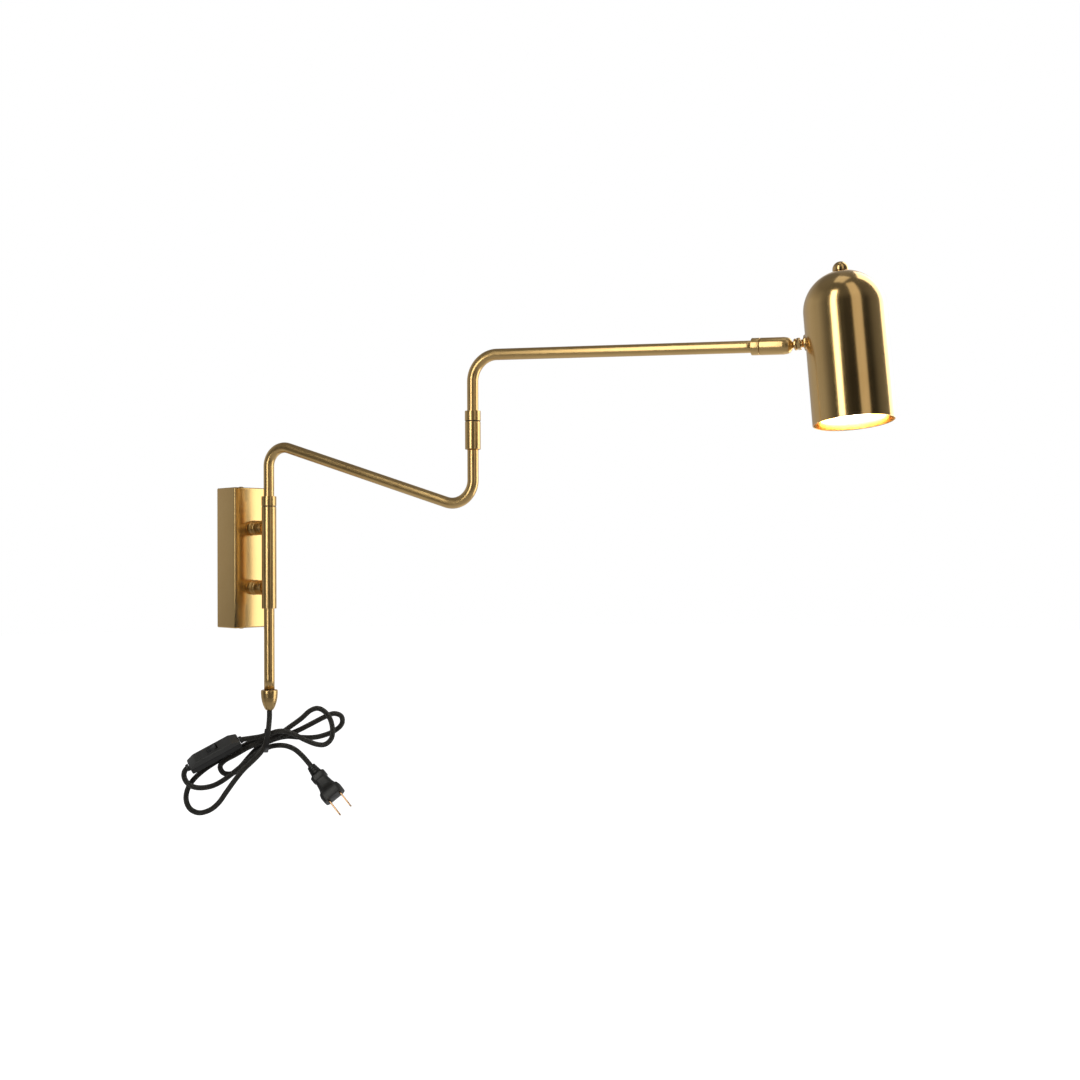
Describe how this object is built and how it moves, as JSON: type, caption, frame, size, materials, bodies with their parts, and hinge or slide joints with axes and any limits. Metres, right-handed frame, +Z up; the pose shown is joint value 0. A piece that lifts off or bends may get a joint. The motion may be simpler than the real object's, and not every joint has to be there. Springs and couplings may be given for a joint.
{
  "type": "swing arm wall sconce",
  "caption": "Brass wall lamp: a wall box carries a bent two-part swing arm with a swivelling cylindrical shade, and a tied-up cord with an inline switch and plug hangs below.",
  "frame": {"origin": "centre of the wall box's back face, on the wall", "axes": "+Y into the wall along its normal, +X along the wall to the right as seen from the room, +Z up"},
  "size_m": [0.2905, 0.6123, 0.4782],
  "materials": {
    "antique_brass": "satin antique brass, finely brushed",
    "brushed_brass": "satin antique brass, brushed along the shade's length",
    "zinc_steel": "zinc plated",
    "natural_nylon": "moulded",
    "black_nylon": "moulded, matt",
    "lead_insulation": "extruded, matt",
    "cord_braid": "woven textile sleeve",
    "black_plastic": "fine moulded grain",
    "contact_brass": "stamped, bright",
    "white_ceramic": "glazed ceramic",
    "bulb_glass": "pressed glass reflector",
    "lens_glass": "frosted lens"
  },
  "bodies": {
    "wall_base": {"wall_bracket": "zinc_steel", "wall_box_cover": "antique_brass", "cover_screw_top": "antique_brass", "cover_screw_bottom": "antique_brass", "backing_plate": "zinc_steel", "standoff_ring_upper": "antique_brass", "standoff_ring_lower": "antique_brass", "standoff_post_upper": "antique_brass", "standoff_post_lower": "antique_brass", "standoff_bolt_upper": "zinc_steel", "standoff_bolt_lower": "zinc_steel", "base_sleeve": "antique_brass", "base_bush_upper": "natural_nylon", "base_bush_lower": "natural_nylon"},
    "lower_arm": {"lower_arm_tube": "antique_brass", "base_collar": "antique_brass", "collar_grub_screw": "zinc_steel", "base_washer": "black_nylon", "tube_circlip": "zinc_steel", "finial_nipple": "zinc_steel", "acorn_finial": "antique_brass", "elbow_sleeve": "antique_brass", "elbow_bush": "natural_nylon", "lower_arm_lead": "lead_insulation", "cord_upper": "cord_braid", "cord_lower": "cord_braid", "cord_tie": "black_nylon", "switch_base": "black_plastic", "switch_cover": "black_plastic", "switch_contacts": "contact_brass", "rocker_pin": "zinc_steel", "plug_relief": "black_plastic", "plug_body": "black_plastic", "plug_blade_a": "contact_brass", "plug_blade_b": "contact_brass"},
    "switch_rocker": {"switch_rocker": "black_plastic"},
    "upper_arm": {"upper_arm_tube": "antique_brass", "elbow_collar": "antique_brass", "elbow_washer": "black_nylon", "elbow_circlip": "zinc_steel", "head_collar": "antique_brass", "head_nipple": "zinc_steel", "upper_arm_lead": "lead_insulation"},
    "head_socket": {"head_barrel": "antique_brass", "ball_seat": "natural_nylon", "ball_spring": "zinc_steel"},
    "head": {"ball_stud": "antique_brass", "swivel_ring": "antique_brass", "lock_nut": "antique_brass", "neck_saddle": "antique_brass", "inner_nut": "zinc_steel", "shade": "brushed_brass", "ball_finial": "antique_brass", "finial_rod": "zinc_steel", "rod_nut": "zinc_steel", "holder_bracket": "zinc_steel", "lamp_holder": "white_ceramic", "bulb_base": "white_ceramic", "bulb_body": "bulb_glass", "bulb_lens": "lens_glass"}
  },
  "joints": [
    {"name": "base_swing", "type": "hinge", "parent": "wall_base", "child": "lower_arm", "pos_m": [0, -0.0595, 0], "axis": [0, 0, 1], "range_deg": [-110, 70]},
    {"name": "elbow_swing", "type": "hinge", "parent": "lower_arm", "child": "upper_arm", "pos_m": [0.07524, -0.26623, 0.108], "axis": [0, 0, 1], "range_deg": [-165, 165]},
    {"name": "head_roll", "type": "hinge", "parent": "upper_arm", "child": "head_socket", "pos_m": [0.17169, -0.53123, 0.16769], "axis": [0.3417, -0.9388, -0.0436], "range_deg": [-161, 169]},
    {"name": "head_tilt", "type": "hinge", "parent": "head_socket", "child": "head", "pos_m": [0.17169, -0.53123, 0.16769], "axis": [-0.9364, -0.344, 0.0697], "range_deg": [-27, 12]},
    {"name": "switch_rocker", "type": "hinge", "parent": "lower_arm", "child": "switch_rocker", "pos_m": [-0.04677, -0.03517, -0.1828], "axis": [0.2569, 0.8712, 0.4183], "range_deg": [0, 18]}
  ]
}
